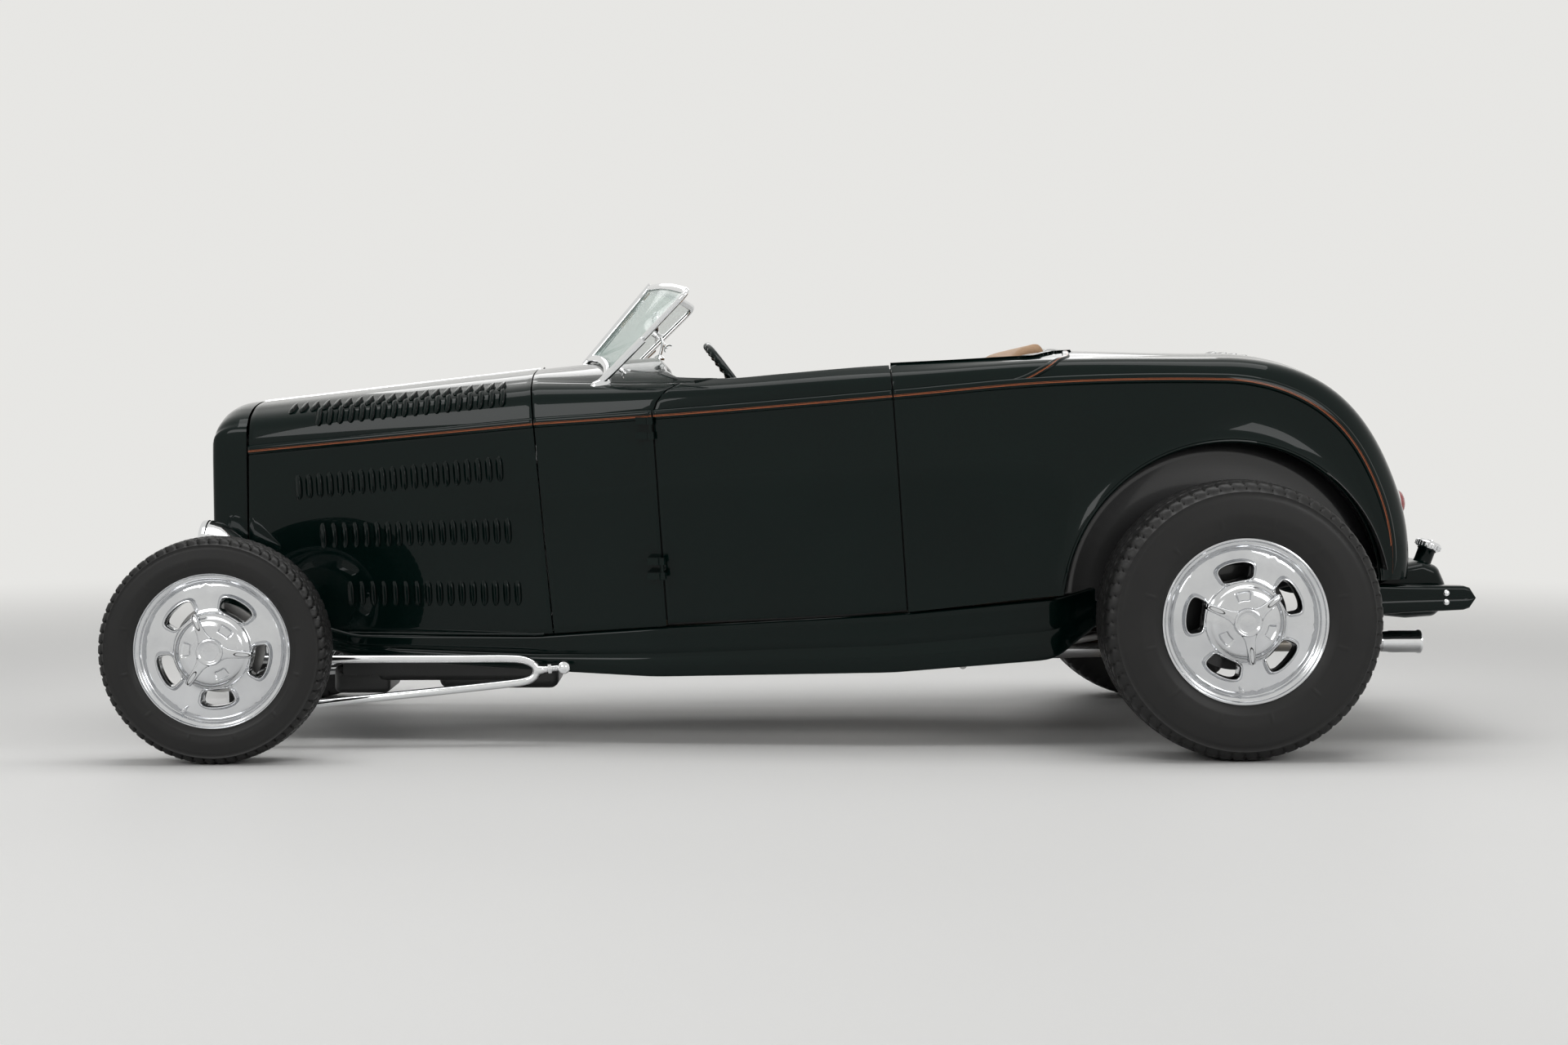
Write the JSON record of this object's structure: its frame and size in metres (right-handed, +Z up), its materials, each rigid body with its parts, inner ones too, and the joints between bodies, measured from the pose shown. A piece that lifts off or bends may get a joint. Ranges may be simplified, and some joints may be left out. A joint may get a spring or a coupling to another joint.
{
  "type": "street rod roadster",
  "caption": "Open two-seat highboy street rod roadster with exposed wheels, louvred hood, raked vee windshield, hinged doors, hood tops and deck lid.",
  "frame": {"origin": "on the ground, on the centreline, half way between the foremost and rearmost points", "axes": "+X to the rear, +Y to the car's right, +Z up; the car faces -X"},
  "size_m": [3.7209, 1.62, 1.2964],
  "materials": {
    "body_paint": "deep gloss dark green with a thin copper stripe",
    "grille_paint": "gloss dark green bars",
    "chrome": "bright plating",
    "wheel_aluminium": "polished castings",
    "tyre_rubber": "black rubber, bare side walls",
    "chassis_steel": "satin steel",
    "chassis_black": "gloss black",
    "cast_engine": "painted casting",
    "exhaust_steel": "polished stainless pipe",
    "tan_leather": "tan leather",
    "carpet": "tan loop carpet",
    "tinted_glass": "light green tint",
    "red_lens": "red lens"
  },
  "bodies": {
    "chassis": {"frame_rail_left": "body_paint", "frame_rail_right": "body_paint", "crossmembers": "body_paint", "spreader_bars": "chrome", "front_axle": "chrome", "front_spring": "chrome", "hairpins": "chrome", "steering_column": "chassis_steel", "rear_axle": "chassis_black", "rear_suspension": "chassis_steel", "driveshaft": "chassis_steel", "engine_block": "cast_engine", "exhaust_pipes": "exhaust_steel", "fuel_tank": "body_paint", "grille_shell": "body_paint", "grille": "grille_paint", "hood_sides": "body_paint", "hood_hinge": "chrome", "cowl": "body_paint", "dashboard": "body_paint", "floor": "carpet", "rear_body": "body_paint", "door_hinges": "body_paint", "seat_cushion": "tan_leather", "seat_back": "tan_leather", "windshield_frame": "chrome", "windshield_glass": "tinted_glass", "mirror": "chrome", "headlights": "chrome", "taillights": "red_lens"},
    "steer_left": {"knuckle_left": "chassis_steel"},
    "steer_right": {"knuckle_right": "chassis_steel"},
    "front_left_wheel": {"front_wheel_left": "wheel_aluminium", "front_tyre_left": "tyre_rubber"},
    "front_right_wheel": {"front_wheel_right": "wheel_aluminium", "front_tyre_right": "tyre_rubber"},
    "rear_left_wheel": {"rear_wheel_left": "wheel_aluminium", "rear_tyre_left": "tyre_rubber"},
    "rear_right_wheel": {"rear_wheel_right": "wheel_aluminium", "rear_tyre_right": "tyre_rubber"},
    "links": {"tie_rod": "chrome", "drag_link": "chrome"},
    "pitman": {"pitman_arm": "chassis_steel"},
    "wheel_rim": {"steering_wheel": "body_paint"},
    "left_door": {"door_left": "body_paint"},
    "right_door": {"door_right": "body_paint"},
    "trunk_lid": {"deck_lid": "body_paint"},
    "left_hood": {"hood_top_left": "body_paint"},
    "right_hood": {"hood_top_right": "body_paint"}
  },
  "joints": [
    {"name": "steer_left_turn", "type": "hinge", "parent": "chassis", "child": "steer_left", "pos_m": [-1.5635, -0.61, 0.297], "axis": [0, 0, 1], "range_deg": [-25, 25]},
    {"name": "steer_right_turn", "type": "hinge", "parent": "chassis", "child": "steer_right", "pos_m": [-1.5635, 0.61, 0.297], "axis": [0, 0, 1], "range_deg": [-25, 25]},
    {"name": "links_turn", "type": "hinge", "parent": "steer_left", "child": "links", "pos_m": [-1.4335, -0.61, 0.18], "axis": [0, 0, 1], "range_deg": [-25, 25]},
    {"name": "pitman_turn", "type": "hinge", "parent": "chassis", "child": "pitman", "pos_m": [-1.4885, -0.2, 0.23], "axis": [0, 0, 1], "range_deg": [-25, 25]},
    {"name": "steering_wheel_turn", "type": "hinge", "parent": "chassis", "child": "wheel_rim", "pos_m": [-0.1725, -0.228, 0.959], "axis": [0.8043, 0, 0.5942], "range_deg": [-375, 375]},
    {"name": "front_left_spin", "type": "hinge", "parent": "steer_left", "child": "front_left_wheel", "pos_m": [-1.5635, -0.71, 0.297], "axis": [0, 1, 0], "continuous": true},
    {"name": "front_right_spin", "type": "hinge", "parent": "steer_right", "child": "front_right_wheel", "pos_m": [-1.5635, 0.71, 0.297], "axis": [0, 1, 0], "continuous": true},
    {"name": "rear_left_spin", "type": "hinge", "parent": "chassis", "child": "rear_left_wheel", "pos_m": [1.1285, -0.698, 0.37], "axis": [0, 1, 0], "continuous": true},
    {"name": "rear_right_spin", "type": "hinge", "parent": "chassis", "child": "rear_right_wheel", "pos_m": [1.1285, 0.698, 0.37], "axis": [0, 1, 0], "continuous": true},
    {"name": "left_door_swing", "type": "hinge", "parent": "chassis", "child": "left_door", "pos_m": [-0.4025, -0.496, 0.492], "axis": [0.0835, 0, -0.9965], "range_deg": [0, 65]},
    {"name": "right_door_swing", "type": "hinge", "parent": "chassis", "child": "right_door", "pos_m": [-0.4025, 0.496, 0.492], "axis": [-0.0835, 0, 0.9965], "range_deg": [0, 65]},
    {"name": "trunk_lid_lift", "type": "hinge", "parent": "chassis", "child": "trunk_lid", "pos_m": [0.731, 0, 1.0997], "axis": [0, -1, 0], "range_deg": [0, 50]},
    {"name": "left_hood_lift", "type": "hinge", "parent": "chassis", "child": "left_hood", "pos_m": [-1.5695, 0, 0.95], "axis": [-0.9932, 0, -0.1167], "range_deg": [0, 60]},
    {"name": "right_hood_lift", "type": "hinge", "parent": "chassis", "child": "right_hood", "pos_m": [-1.5695, 0, 0.95], "axis": [0.9932, 0, 0.1167], "range_deg": [0, 60]}
  ],
  "couplings": [
    {"joint": "steer_right_turn", "follows": "steer_left_turn", "ratio": 1},
    {"joint": "links_turn", "follows": "steer_left_turn", "ratio": -1},
    {"joint": "pitman_turn", "follows": "steer_left_turn", "ratio": 1},
    {"joint": "steering_wheel_turn", "follows": "steer_left_turn", "ratio": 15}
  ]
}
